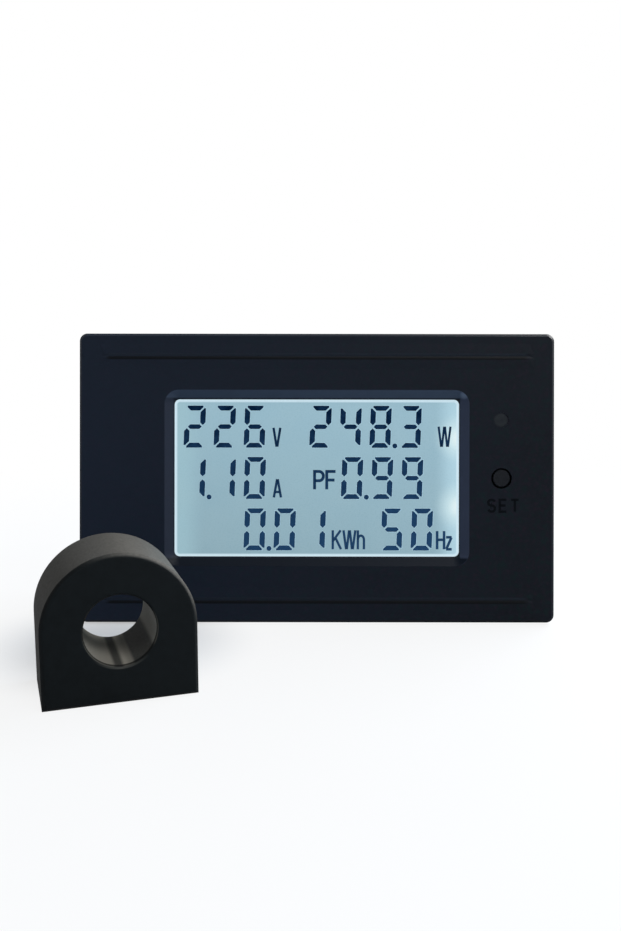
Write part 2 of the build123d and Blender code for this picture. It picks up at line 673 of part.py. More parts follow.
def ct_ring(inset, sweep):
    """Square-edged ring round the tube, drawn back from the space it fills."""
    inner = CT_RING_R + inset
    outer = CT_RING_R + CT_RING_T - inset
    front = -CT_WALL - CT_WINDING_GAP - inset
    back = -CT_D + CT_BACK_RECESS + CT_BACK_T + inset
    section = Plane.XZ * make_face(Polyline((inner, back), (outer, back), (outer, front),
                                            (inner, front), (inner, back)))
    return Pos(0, CT_BORE_Y, 0) * Rot(Z=90) * revolve(section, Axis.Z, sweep)


def ct_winding():
    """Winding round the whole ring but for a narrow gap, as a sleeve over the core."""
    sweep = 360 - CT_WINDING_OPEN
    return ct_ring(0, sweep) - ct_ring(CT_WINDING_T, 360)


def ct_core():
    """Steel ring inside the winding."""
    return ct_ring(CT_WINDING_T + FIT / 2, 360)


def meter_pieces():
    """Every piece of the meter, by node name, in the meter's own drawing."""
    pieces = {
        "front_housing": front_housing(),
        "rear_cover": rear_cover(),
        "front_polariser": display_layer(POLARISER_MARGIN, 0, FACE_BACK, POLARISER_T),
        "front_glass": display_layer(GLASS_MARGIN, 0, GLASS_FRONT, GLASS_T),
        "rear_glass": display_layer(GLASS_MARGIN, CONTACT_LEDGE, REAR_GLASS_FRONT, GLASS_T),
        "rear_polariser": display_layer(POLARISER_MARGIN, 0, REAR_GLASS_BACK, POLARISER_T),
        "light_guide": light_guide(),
        "backlight_tray": backlight_tray(),
        "backlight_leds": Compound([led_block(y) for y in LED_PLACES]),
        "lcd_pins": Compound([lcd_pin(x) for x in pin_places()]),
        "main_board": main_board(),
        "board_screws": Compound([board_screw(x, y) for x, y in post_places()]),
        "switch_base": switch_base(),
        "switch_plunger": switch_plunger(),
        "set_button": set_button(),
        "terminal_block": terminal_block(),
        "terminal_plates": Compound([terminal_plate(y) for y in pole_heights()]),
        "latch_left": latch(-1),
        "latch_right": latch(1),
        "metering_chip": on_board_back(
            chip(METERING_CHIP_L, SMALL_CHIP_W, CHIP_H, METERING_LEGS, FINE_PITCH), METERING_X, DISC_Y),
        "controller_chip": on_board_back(
            chip(CONTROLLER_L, CONTROLLER_W, CONTROLLER_H, CONTROLLER_LEGS, FINE_PITCH),
            CRYSTAL_X, CONTROLLER_Y),
        "memory_chip": on_board_back(
            chip(MEMORY_CHIP_L, SMALL_CHIP_W, CHIP_H, MEMORY_LEGS, FINE_PITCH), MEMORY_X, CONTROLLER_Y),
        "bridge_rectifier": on_board_back(
            chip(BRIDGE_L, BRIDGE_W, BRIDGE_H, BRIDGE_LEGS, BRIDGE_PITCH), BRIDGE_X, FILM_Y),
        "crystal": on_board_back(crystal(), CRYSTAL_X, CRYSTAL_Y),
        "film_capacitor": on_board_back(film_capacitor(), FILM_X, FILM_Y),
        "smoothing_capacitor": on_board_back(smoothing_capacitor(), CAN_X, CAN_Y),
        "varistor": on_board_back(varistor(), DISC_X, DISC_Y, 90),
        "fuse_resistor": on_board_back(fuse_resistor(), FILM_X, FUSE_Y),
    }
    for number, y in enumerate(pole_heights(), start=1):
        pieces[f"clamp_plate_{number}"] = clamp_plate(y)
        pieces[f"terminal_screw_{number}"] = terminal_screw(y)
    return pieces


def ct_pieces():
    """Every piece of the transformer, by node name, in its own drawing."""
    return {"ct_case": ct_case(), "ct_core": ct_core(), "ct_winding": ct_winding(), "ct_back": ct_back()}


# The meter tips back about the rear lower edge of its bezel until the box's lower
# rear edge meets the table, so both edges lie at height 0.
METER_STAND = Rot(X=90 - LEAN) * Pos(0, BEZEL_H / 2, 0)
CT_STAND = Pos(CT_X, CT_Y, 0) * Rot(Z=CT_YAW) * Rot(X=90)


def standing_pieces():
    """All pieces as they stand together, before the origin is set."""
    placed = {name: METER_STAND * piece for name, piece in meter_pieces().items()}
    placed.update({name: CT_STAND * piece for name, piece in ct_pieces().items()})
    return placed


def origin_shift(pieces):
    """Move that puts the origin under the middle of everything, on the table."""
    boxes = [piece.bounding_box() for piece in pieces.values()]
    left = min(box.min.X for box in boxes)
    right = max(box.max.X for box in boxes)
    front = min(box.min.Y for box in boxes)
    back = max(box.max.Y for box in boxes)
    return Pos(-(left + right) / 2, -(front + back) / 2, -min(box.min.Z for box in boxes))


STANDING = standing_pieces()
SHIFT = origin_shift(STANDING)
os.makedirs("parts", exist_ok=True)
for name, piece in STANDING.items():
    export_step(SHIFT * piece, f"parts/{name}.step")
print("lean", round(LEAN, 3), "shift", [round(v, 3) for v in SHIFT.position])
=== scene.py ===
import bmesh
import bpy
import json
import math
from mathutils import Matrix, Vector


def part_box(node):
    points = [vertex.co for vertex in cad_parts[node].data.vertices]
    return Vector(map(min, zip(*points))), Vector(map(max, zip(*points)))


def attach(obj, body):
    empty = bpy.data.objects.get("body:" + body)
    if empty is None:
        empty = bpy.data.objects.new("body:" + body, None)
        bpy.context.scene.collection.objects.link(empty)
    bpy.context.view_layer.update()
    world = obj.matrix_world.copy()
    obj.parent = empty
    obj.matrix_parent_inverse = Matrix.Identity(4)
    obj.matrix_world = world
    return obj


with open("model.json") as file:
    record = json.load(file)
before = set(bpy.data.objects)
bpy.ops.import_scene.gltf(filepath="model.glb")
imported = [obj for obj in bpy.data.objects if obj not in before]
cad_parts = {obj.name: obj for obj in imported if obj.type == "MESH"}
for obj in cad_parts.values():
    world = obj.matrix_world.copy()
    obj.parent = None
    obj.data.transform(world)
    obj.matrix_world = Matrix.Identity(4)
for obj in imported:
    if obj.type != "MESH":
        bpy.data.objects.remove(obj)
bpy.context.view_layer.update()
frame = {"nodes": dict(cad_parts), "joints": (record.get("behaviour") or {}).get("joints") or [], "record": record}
nodes = frame["nodes"]
joints = {joint["name"]: joint for joint in frame["joints"]}

MM = 0.001

# The face of the meter: right, up the face and out of it
RIGHT = Vector((1, 0, 0))
OUT = -Vector(joints["button_press"]["axis"])
UP = OUT.cross(RIGHT)

# Below, sizes and places are in millimetres, and places are measured from the middle of the face or of the
# display, where a comment says nothing else

# Seven-segment figures on the display
DIGIT_W = 4.0
DIGIT_H = 7.96
DIGIT_PITCH = 5.7
STROKE_ACROSS = 0.92
STROKE_UP = 1.02
CORNER_GAP = 0.2
CORNER_CUT = 0.3
TIP_GAP = 0.29
BAR_INSET = 0.68
BAR_HALF = 0.47 * STROKE_ACROSS
SLANT = math.radians(2.2)
DOT_R = 0.47
DOT_BACK = 0.83
DOT_UP = 0.36
DOT_SIDES = 24
ROW_BASE = (5.76, -3.98, -13.74)
LEFT_GROUP = -25.33
RIGHT_GROUP = -1.45
RIGHT_PAIR = 12.12
FACTOR_SHIFT = 0.3

# Plates of the figures, of the pale line of painted light round them and of the word: thickness, and distance from
# the surface
FIGURE_T = 0.02
FIGURE_LIFT = 0.012
HALO_W = 0.1
HALO_T = 0.006
HALO_LIFT = 0.001
WORD_T = 0.01
WORD_LIFT = 0.002

# Reading: name, row, left edge of its first figure, text
READINGS = (
    ("voltage", 0, LEFT_GROUP, "226"),
    ("power", 0, RIGHT_GROUP, "248.3"),
    ("current", 1, LEFT_GROUP, "1.10"),
    ("power_factor", 1, RIGHT_GROUP + DIGIT_PITCH + FACTOR_SHIFT, "0.99"),
    ("energy", 2, LEFT_GROUP + 2 * DIGIT_PITCH, "0.01"),
    ("frequency", 2, RIGHT_PAIR, "50"),
)

# Unit or word: name, text, left, right, bottom, top, pen width
UNITS = (
    ("unit_volt", "V", -8.46, -6.71, 5.71, 9.77, 0.46),
    ("unit_watt", "W", 22.92, 25.6, 5.75, 10.0, 0.42),
    ("unit_ampere", "A", -8.38, -6.57, -3.93, 0.0, 0.46),
    ("sign_power_factor", "PF", -0.7, 3.85, -2.43, 1.53, 0.56),
    ("unit_energy", "KWh", 2.83, 9.2, -13.75, -9.7, 0.45),
    ("unit_hertz", "Hz", 22.63, 25.9, -13.75, -9.8, 0.5),
)
KEY_WORD = ("key_word", "SET", 32.07, 38.25, -6.5, -3.81, 0.46)

# Which of the seven segments are lit in each figure
LIT = {
    "0": "abcdef", "1": "bc", "2": "abged", "3": "abgcd", "4": "fgbc",
    "5": "afgcd", "6": "afgcde", "8": "abcdefg", "9": "abcdfg",
}

# Window in the face, its bevelled surround, and how far past the window's edge the surround's painted reflections
# and painted shade change
WINDOW_W = 54.0
WINDOW_H = 29.8
WINDOW_CORNER = 1.0
WINDOW_DEEP = 2.0
BEVEL_W = 1.7
SURROUND_END = (BEVEL_W - 0.05, BEVEL_W + 0.1)
SIDE_REFLECTION_RANGE = (0.0, 0.3)
TOP_REFLECTION_RANGE = (0.1, 0.4)
LOW_SHADE_RANGE = (0.0, 0.4)

# Painted glint on a corner of the surround, and the dimple: place, radius of the full tint and of its end
GLINT_AT = (28.0, 15.9, -0.6)
GLINT_R = (0.5, 1.2)
DIMPLE_AT = (34.7, 11.0, 0.0)
DIMPLE_R = (1.0, 1.5)

# Painted light on the face: bluer and lighter towards its left, where it lies in front of the box, and lighter
# towards its top
LEFT_LIGHT_RANGE = (40.0, -45.0)
LEFT_DEPTH = (-3.2, -2.8)
UPPER_LIGHT_RANGE = (0.0, 27.0)

# Lit display: from its bottom to its top, towards its left and right, glows at the right, line at the edge,
# and how far up and down the ink changes
GLOW_HEIGHT = (-14.0, 14.0)
GLOW_LEFT = (-21.0, -26.0)
GLOW_RIGHT = (22.0, 27.0)
HOT_SPOTS = ((27.2, 7.6, 0.0), (27.2, -5.4, 0.0))
HOT_R = 5.4
CORE_R = 2.6
EDGE_LINE = (-0.65, -0.3)
INK_HEIGHT = 13.0

# Share of the display's colour that is its own light
LIT_SHARE = 0.72

# Sink lines over the box walls: half their length, place, half their valley's width, height and reach of the
# swells beside it, taper at the ends, share of the height left past them, how far that goes, foot in the face
SINK_END = 39.95
SINK_AT = 23.0
SINK_HALF = 0.4
SINK_DEEP = 0.08
SINK_SWELL = 2.4
SINK_TAPER = 1.0
SINK_FLAT = 0.1
SINK_COVER = 44.1
SINK_UNDER = -0.01

# Painted highlight and painted shade across a sink line, above and below its middle: where each band starts, is
# full, fades and ends
SINK_HIGHLIGHT_BAND = (0.05, 0.2, 0.4, 0.6)
SINK_SHADE_BAND = (-0.75, -0.55, -0.15, 0.0)

# Bore of the transformer: radius, skin that its colours go into, rim of painted shade at its mouth
BORE_R = 5.5
BORE_SKIN = 0.12
RIM_DEEP = 0.4
RIM_FADE = 0.1

# Painted reflections along the bore, as light and dark streaks: angle from its lowest line in radians, lightness
BORE_REFLECTION_STREAKS = (
    (-1.6, 0.1), (-1.0, 0.9), (-0.25, 0.8), (-0.12, 0.15), (0.0, 0.15), (0.12, 0.95), (0.3, 0.6),
    (0.42, 0.06), (1.0, 0.06), (1.2, 1.0), (1.7, 1.0), (2.2, 0.0),
)

# Painted highlight on the edge under the bore's mouth: radii of its band, half its angle in radians, depth of the
# front's skin
CRESCENT_R = (5.65, 5.75, 5.95, 6.1)
CRESCENT_HALF = 0.8
CRESCENT_SKIN = (-0.1, -0.05)

# Outside of the transformer from the bore's axis: its skin, where its painted light and its painted shade lie
# across, and above it
OUTER_SKIN = (11.3, 11.6)
TOP_LIGHT_ACROSS = (-6.0, 3.0)
SHOULDER_SHADE_ACROSS = (-3.0, -10.0)
OUTER_ABOVE = (0.0, 5.0)

# Table, in metres: size, panels a side, place of painted shade between the transformer and the meter, and the ring
# round the objects in which the table turns to full white
TABLE_W = 6.0
TABLE_PANELS = 4
SHADE_AT = (-0.0365, -0.006, 0.0)
SHADE_R = (0.004, 0.028)
NEAR_R = (0.08, 0.2)

# Share of white that the table shows: in the place of painted shade, near the objects and in reflections
SHADE_WHITE = 0.4
NEAR_WHITE = 0.88
REFLECTED_TABLE = 0.25

# Winding of the transformer: wave scale for its turns and how uneven they are
WIRE_SCALE = 2200.0
WIRE_UNEVEN = 0.6

# Light from all around, as a share of white
WORLD_LIGHT = 0.18

# Lamps: name, place and size in metres, watts; they face one point
LAMPS = (
    ("key", (0.35, -0.35, 0.65), (0.5, 0.4), 4.0),
    ("top", (0.45, 0.3, 0.45), (0.5, 0.3), 8.0),
    ("back", (0.3, 0.6, 0.3), (0.5, 0.3), 5.0),
)
LAMP_TARGET = (0.0, 0.0, 0.03)

# Camera: offset from the middle of the face, angles in degrees, lens, nearest distance in metres
CAMERA_OFFSET = (-1.241, -179.65, 32.212)
CAMERA_PITCH = 9.418
CAMERA_ROLL = -0.084
CAMERA_FOCAL = 37.448
CAMERA_SENSOR = 36.0
CAMERA_NEAR = 0.005


def srgb(red, green, blue):
    """Colour written as 0 to 255 on a screen, as Blender's linear values."""
    values = [value / 255 for value in (red, green, blue)]
    return tuple(v / 12.92 if v <= 0.04045 else ((v + 0.055) / 1.055) ** 2.4 for v in values) + (1.0,)


WHITE = (1.0, 1.0, 1.0, 1.0)
BLACK = (0.0, 0.0, 0.0, 1.0)

# Housing: plastic, its two mottles, the painted light on the face, the painted reflections and painted shade of
# the window's surround, the painted glint at its corner, and the painted highlight and painted shade of the sink
# lines
HOUSING = srgb(15, 20, 28)
MOTTLE_RED = srgb(29, 22, 34)
MOTTLE_GREEN = srgb(10, 29, 32)
FACE_LEFT_LIGHT = srgb(30, 40, 57)
FACE_UPPER_LIGHT = srgb(24, 30, 38)
SURROUND_SIDE_REFLECTION = srgb(40, 47, 62)
SURROUND_RIGHT_REFLECTION = srgb(54, 62, 81)
SURROUND_TOP_REFLECTION = srgb(57, 69, 87)
SURROUND_LOW_SHADE = srgb(3, 14, 28)
SURROUND_GLINT = srgb(92, 104, 124)
DIMPLE = srgb(38, 42, 46)
SINK_HIGHLIGHT = srgb(34, 41, 51)
SINK_SHADE = srgb(3, 6, 10)

# Display: its light at the bottom, top, left and right, the glows, the clouds and the line at the edge
LIT_LOW = srgb(149, 181, 194)
LIT_TOP = srgb(158, 193, 208)
LIT_LEFT = srgb(163, 199, 211)
LIT_RIGHT = srgb(186, 221, 235)
LIT_HOT = srgb(232, 254, 255)
LIT_CORE = srgb(244, 255, 255)
LIT_CLOUD = srgb(178, 204, 208)
LIT_EDGE = srgb(220, 244, 255)
INK_TOP = srgb(2, 23, 48)
INK_LOW = srgb(31, 62, 94)
# Pale line of painted light round each figure
HALO_LIGHT = srgb(160, 192, 206)

# Transformer: plastic and its sheen, painted reflections along the bore, painted shade in the rim of the bore,
# painted highlight on the edge under it, painted shade on the left shoulder, painted light on the top
TRANSFORMER = srgb(19, 23, 25)
TRANSFORMER_SHEEN = srgb(220, 214, 202)
BORE_REFLECTION = srgb(144, 141, 132)
BORE_RIM_SHADE = srgb(9, 11, 12)
CRESCENT_HIGHLIGHT = srgb(74, 74, 70)
SHOULDER_SHADE = srgb(7, 9, 10)
TOP_LIGHT = srgb(84, 83, 80)

# Two tints each of the word under the key, the board and the table; the winding
WORD_TINTS = (srgb(6, 9, 14), srgb(15, 19, 24))
BOARD_TINTS = (srgb(18, 76, 44), srgb(28, 96, 56))
TABLE_TINTS = (srgb(172, 184, 196), srgb(180, 192, 204))
COPPER = srgb(138, 74, 44)

# Plain finishes by slot
PLASTICS = {
    "button_plastic": dict(colour=srgb(21, 24, 29), grain_mm=0.4, relief_mm=0.04, edge_wear_and_highlight=0.25, specular=0.2),
    "switch_plastic": dict(colour=srgb(36, 37, 39), edge_wear_and_highlight=0.1),
    "white_plastic": dict(colour=srgb(222, 225, 222), rough=0.45, edge_wear_and_highlight=0.0),
    "led_resin": dict(colour=srgb(238, 228, 170), rough=0.3, edge_wear_and_highlight=0.0),
    "terminal_plastic": dict(colour=srgb(25, 26, 29), rough=0.42, grain_mm=0.3, edge_wear_and_highlight=0.3),
    "chip_resin": dict(colour=srgb(34, 34, 36), rough=0.6, grain_mm=0.15, edge_wear_and_highlight=0.1),
    "capacitor_box": dict(colour=srgb(176, 44, 34), rough=0.4, edge_wear_and_highlight=0.1),
    "varistor_coat": dict(colour=srgb(36, 66, 132), rough=0.4, grain_mm=0.6, relief_mm=0.03, edge_wear_and_highlight=0.0),
    "resistor_coat": dict(colour=srgb(70, 108, 66), rough=0.45, grain_mm=0.5, relief_mm=0.03, edge_wear_and_highlight=0.0),
    "transformer_resin": dict(colour=srgb(22, 22, 24), rough=0.3, grain_mm=1.4, relief_mm=0.05, edge_wear_and_highlight=0.0),
}
METALS = {
    "tinned_metal": dict(colour=srgb(200, 200, 196), rough=0.28),
    "screw_steel": dict(colour=srgb(188, 187, 182), rough=0.3, brush=(1, 1, 0.2)),
    "clamp_steel": dict(colour=srgb(196, 190, 172), rough=0.34, brush=(0.2, 1, 1)),
    "crystal_can": dict(colour=srgb(196, 196, 194), rough=0.22),
    "capacitor_can": dict(colour=srgb(176, 178, 182), rough=0.26),
    "core_steel": dict(colour=srgb(120, 122, 126), rough=0.4, brush=(1, 1, 0.1)),
}
CLEARS = {
    "display_glass": dict(colour=srgb(226, 238, 236)),
    "clear_acrylic": dict(colour=srgb(232, 244, 247)),
}


def reach(node, direction):
    """How far a node reaches along a direction, in metres."""
    return max(direction.dot(vertex.co) for vertex in nodes[node].data.vertices)


def face_place(node):
    """Matrix with its origin before the middle of the display, on the front of a node."""
    low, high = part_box("front_polariser")
    middle = (low + high) / 2
    origin = middle + OUT * (reach(node, OUT) - OUT.dot(middle))
    turn = Matrix((RIGHT, UP, OUT)).transposed().to_4x4()
    return Matrix.Translation(origin) @ turn


def bore_place():
    """Matrix with its origin in the transformer's bore, its axis outwards and Y upwards."""
    mount = next(m for m in frame["record"]["mounts"] if m["name"] == "conductor_bore")
    axis = Vector(mount["axis"])
    up = Vector((0, 0, 1))
    turn = Matrix((up.cross(axis), up, axis)).transposed().to_4x4()
    return Matrix.Translation(mount["pos_m"]) @ turn


FACE = face_place("front_housing")
FILM = face_place("front_polariser")
BORE = bore_place()


class Finish:
    """A procedural material in the making. Colours, masks and bumps are joined as sockets."""

    def __init__(self, name):
        self.material = bpy.data.materials.new(name)
        self.material.use_nodes = True
        self.tree = self.material.node_tree
        self.shader = self.tree.nodes["Principled BSDF"]

    def put(self, kind, inputs=None, **settings):
        """Add a node; inputs are constants or sockets of other nodes."""
        node = self.tree.nodes.new("ShaderNode" + kind)
        for key, value in settings.items():
            setattr(node, key, value)
        for key, value in (inputs or {}).items():
            self.feed(node.inputs[key], value)
        return node

    def feed(self, socket, value):
        """Join a socket to a value, or set a constant."""
        if isinstance(value, bpy.types.NodeSocket):
            self.tree.links.new(value, socket)
        else:
            socket.default_value = value

    def set(self, **values):
        """Feed the shader's own sockets, named with underscores for spaces."""
        for key, value in values.items():
            self.feed(self.shader.inputs[key.replace("_", " ")], value)

    def colour(self):
        """The shader's colour so far."""
        return self.shader.inputs["Base Color"].links[0].from_socket

    def lay(self, colour, *masks):
        """Lay a colour over the shader's own, where all the masks are 1."""
        mask = masks[0]
        for more in masks[1:]:
            mask = self.math("MULTIPLY", mask, more)
        self.set(Base_Color=self.blend(mask, self.colour(), colour))

    def place(self):
        """Coordinates of the piece in metres."""
        return self.put("TexCoord").outputs["Object"]

    def place_on(self, matrix):
        """Coordinates in millimetres in a given frame, for a piece whose mesh holds its place."""
        return self.put("Mapping", {
            "Vector": self.place(), "Location": matrix.translation,
            "Rotation": matrix.to_euler(), "Scale": (MM, MM, MM),
        }, vector_type="TEXTURE").outputs["Vector"]

    def split(self, vector):
        """X, Y and Z of a vector."""
        node = self.put("SeparateXYZ", {"Vector": vector})
        return [node.outputs[name] for name in "XYZ"]

    def math(self, operation, a, b=0.0):
        """Sum, product or other result of one or two numbers."""
        node = self.put("Math", operation=operation)
        self.feed(node.inputs[0], a)
        self.feed(node.inputs[1], b)
        return node.outputs[0]

    def vector(self, operation, a, b=(0, 0, 0)):
        """Result of one or two vectors, itself a vector or a number."""
        node = self.put("VectorMath", operation=operation)
        self.feed(node.inputs[0], a)
        if operation not in ("ABSOLUTE", "LENGTH"):
            self.feed(node.inputs[1], b)
        return node.outputs["Value" if operation in ("LENGTH", "DISTANCE", "DOT_PRODUCT") else "Vector"]

    def noise(self, size_mm, detail=2.0, roughness=0.5, stretch=(1, 1, 1)):
        """Cloudy value from 0 to 1, with features of about the given size."""
        scale = 1 / (size_mm * MM)
        spread = self.put("Mapping", {
            "Vector": self.place(), "Scale": tuple(scale * s for s in stretch),
        })
        return self.put("TexNoise", {
            "Vector": spread.outputs["Vector"], "Scale": 1.0, "Detail": detail, "Roughness": roughness,
        }).outputs["Fac"]

    def span(self, value, low, high, new_low=0.0, new_high=1.0, smooth=False):
        """Move a value from one range to another, held at both ends."""
        return self.put("MapRange", {
            "Value": value, "From Min": low, "From Max": high, "To Min": new_low, "To Max": new_high,
        }, interpolation_type="SMOOTHSTEP" if smooth else "LINEAR").outputs["Result"]

    def swing(self, noise, new_low=0.0, new_high=1.0):
        """Stretch the middle of a noise's values, where nearly all of them lie, over a range."""
        return self.span(noise, 0.3, 0.7, new_low, new_high)

    def band(self, value, start, full, fade, end):
        """Mask that is 1 from full to fade, and 0 before start and after end."""
        return self.math("MULTIPLY", self.span(value, start, full), self.span(value, fade, end, 1.0, 0.0))

    def spot(self, where, centre, full, end, strength=1.0):
        """Round mask that has its strength up to one radius and is 0 from another on."""
        return self.span(self.vector("DISTANCE", where, centre), full, end, strength, 0.0, smooth=True)

    def ray_share(self, camera, reflected):
        """A value for camera rays, another for rays in gloss, metal and glass, and 0 elsewhere."""
        path = self.put("LightPath")
        seen = self.math("MAXIMUM", path.outputs["Is Glossy Ray"], path.outputs["Is Transmission Ray"])
        return self.math("MAXIMUM", self.math("MULTIPLY", path.outputs["Is Camera Ray"], camera),
                         self.math("MULTIPLY", seen, reflected))

    def blend(self, factor, a, b):
        """Colour between a and b."""
        node = self.put("Mix", data_type="RGBA")
        self.feed(node.inputs["Factor"], factor)
        self.feed(node.inputs["A"], a)
        self.feed(node.inputs["B"], b)
        return next(socket for socket in node.outputs if socket.type == "RGBA")

    def ramp(self, value, stops):
        """Value from 0 to 1 that runs smoothly through the given stops."""
        node = self.put("ValToRGB", {"Fac": self.span(value, stops[0][0], stops[-1][0])})
        marks = node.color_ramp
        marks.interpolation = "EASE"
        width = stops[-1][0] - stops[0][0]
        while len(marks.elements) < len(stops):
            marks.elements.new(0.5)
        for mark, (place, share) in zip(marks.elements, stops):
            mark.position = (place - stops[0][0]) / width
            mark.color = (share, share, share, 1.0)
        return node.outputs["Color"]

    def beyond_window(self, where):
        """Distance past the window's edge in millimetres, less than 0 inside it."""
        inner = (WINDOW_W / 2 - WINDOW_CORNER, WINDOW_H / 2 - WINDOW_CORNER, WINDOW_DEEP)
        past = self.vector("MAXIMUM", self.vector("SUBTRACT", self.vector("ABSOLUTE", where), inner))
        return self.math("SUBTRACT", self.vector("LENGTH", past), WINDOW_CORNER)

    def soft_edges(self, radius_mm):
        """Normal that rounds the sharp edges a little."""
        return self.put("Bevel", {"Radius": radius_mm * MM}, samples=4).outputs["Normal"]

    def bump(self, height, depth_mm, strength=1.0, under=None):
        """Surface relief of a given depth."""
        node = self.put("Bump", {"Height": height, "Distance": depth_mm * MM, "Strength": strength})
        if under:
            self.feed(node.inputs["Normal"], under)
        return node.outputs["Normal"]

    def worn_and_highlit_edges(self, radius_mm, noise_mm):
        """Mask that is 1 along sharp edges, broken up by noise: partly rubbed edges, partly a painted highlight.
        """
        true = self.put("NewGeometry").outputs["Normal"]
        bend = self.math("SUBTRACT", 1.0, self.vector("DOT_PRODUCT", self.soft_edges(radius_mm), true))
        edge = self.span(bend, 0.02, 0.2, smooth=True)
        return self.math("MULTIPLY", edge, self.span(self.noise(noise_mm, detail=3.0), 0.35, 0.65))


def tint(colour, factor):
    """A colour made darker or lighter."""
    return tuple(min(1.0, value * factor) for value in colour[:3]) + (1.0,)


def moulded_plastic(name, colour, rough=0.5, grain_mm=0.22, relief_mm=0.012, edge_wear_and_highlight=0.35, specular=0.35,
                    edge_mm=0.0):
    """Moulded plastic with a spark-eroded grain, cloudy tints, and lighter edges that are partly rubbed and partly
    a painted highlight.
    """
    f = Finish(name)
    fine = f.noise(grain_mm, roughness=0.6)
    f.set(Base_Color=f.blend(f.swing(f.noise(9.0, detail=3.0)), tint(colour, 0.86), tint(colour, 1.14)))
    f.lay(tint(colour, 1.35), f.span(f.noise(1.3), 0.35, 0.65, 0.0, 0.4))
    f.lay(tint(colour, 1.5), f.span(fine, 0.35, 0.75, 0.0, 0.35))
    # Lighter sharp edges: partly wear, partly a painted highlight along the edges
    f.lay(tint(colour, 3.2), f.worn_and_highlit_edges(radius_mm=0.35, noise_mm=1.1), edge_wear_and_highlight)
    f.set(Specular_IOR_Level=specular, Roughness=f.swing(fine, rough - 0.06, rough + 0.08))
    f.set(Normal=f.bump(fine, relief_mm, strength=0.8, under=f.soft_edges(edge_mm) if edge_mm else None))
    return f


def housing_plastic(name="housing_plastic", edge_wear_and_highlight=0.1):
    """Blue-black plastic of the housing, with painted light on the face, painted reflections and painted shade on
    the window's surround, a painted glint at its corner, and a paler dimple.
    """
    f = moulded_plastic(name, HOUSING, rough=0.48, specular=0.16, edge_wear_and_highlight=edge_wear_and_highlight)
    where = f.place_on(FACE)
    across, height, out = f.split(where)
    f.lay(MOTTLE_RED, f.span(f.noise(0.7), 0.5, 0.7, 0.0, 0.8))
    f.lay(MOTTLE_GREEN, f.span(f.noise(1.0), 0.5, 0.7, 0.0, 0.8))
    # Painted light: the face lighter and bluer towards its left, and lighter towards its top
    f.lay(FACE_LEFT_LIGHT, f.span(across, *LEFT_LIGHT_RANGE, 0.0, 0.7), f.span(out, *LEFT_DEPTH))
    f.lay(FACE_UPPER_LIGHT, f.span(height, *UPPER_LIGHT_RANGE, 0.0, 0.3))
    # Painted reflections on the sides, right and top of the window's surround, and painted shade on its bottom
    ring = f.span(f.beyond_window(where), *SURROUND_END, 1.0, 0.0)
    side = [WINDOW_W / 2 + past for past in SIDE_REFLECTION_RANGE]
    f.lay(SURROUND_SIDE_REFLECTION, ring, f.span(f.math("ABSOLUTE", across), *side))
    f.lay(SURROUND_RIGHT_REFLECTION, ring, f.span(across, *side))
    f.lay(SURROUND_TOP_REFLECTION, ring, f.span(height, *(WINDOW_H / 2 + past for past in TOP_REFLECTION_RANGE)))
    f.lay(SURROUND_LOW_SHADE, ring, f.span(height, *(-WINDOW_H / 2 - past for past in LOW_SHADE_RANGE)))
    # Painted glint on the surround's upper right corner
    f.lay(SURROUND_GLINT, ring, f.spot(where, GLINT_AT, *GLINT_R, strength=0.9))
    f.lay(DIMPLE, f.spot(where, DIMPLE_AT, *DIMPLE_R), f.span(f.noise(1.2), 0.3, 0.6, 0.5, 1.0))
    return f


def sink_plastic_with_painted_light():
    """The housing's plastic, with a painted highlight above the middle of each sink line's valley and painted
    shade below it.
    """
    f = housing_plastic("sink_plastic_with_painted_light", edge_wear_and_highlight=0.0)
    across, height = f.split(f.place_on(FACE))[:2]
    run = f.span(f.math("ABSOLUTE", across), SINK_END - SINK_TAPER, SINK_END, 1.0, 0.0)
    for line in (-SINK_AT, SINK_AT):
        off = f.math("SUBTRACT", height, line)
        # Painted highlight above the middle of the sink line's valley, painted shade below it
        f.lay(SINK_HIGHLIGHT, f.band(off, *SINK_HIGHLIGHT_BAND), run, 0.55)
        f.lay(SINK_SHADE, f.band(off, *SINK_SHADE_BAND), run, 0.85)
    return f


def display_film():
    """Lit display: pale blue with a bright line round the window and two glows at the right."""
    f = Finish("display_film")
    where = f.place_on(FILM)
    across, height = f.split(where)[:2]
    fine = f.noise(0.25, detail=1.0)
    f.set(Base_Color=f.blend(f.span(height, *GLOW_HEIGHT), LIT_LOW, LIT_TOP))
    f.lay(LIT_LEFT, f.span(across, *GLOW_LEFT, smooth=True))
    f.lay(LIT_RIGHT, f.span(across, *GLOW_RIGHT, smooth=True))
    for centre in HOT_SPOTS:
        f.lay(LIT_HOT, f.spot(where, centre, 0.0, HOT_R, strength=0.8))
        f.lay(LIT_CORE, f.spot(where, centre, 0.0, CORE_R, strength=0.7))
    f.lay(LIT_CLOUD, f.swing(f.noise(6.0), 0.0, 0.1))
    f.lay(LIT_EDGE, f.span(f.beyond_window(where), *EDGE_LINE, 0.0, 0.95, smooth=True))
    f.set(Emission_Color=f.colour(), Emission_Strength=LIT_SHARE)
    f.lay(BLACK, LIT_SHARE)
    f.set(Specular_IOR_Level=0.25, Roughness=f.swing(fine, 0.24, 0.34))
    f.set(Normal=f.bump(fine, depth_mm=0.002, strength=0.4))
    return f


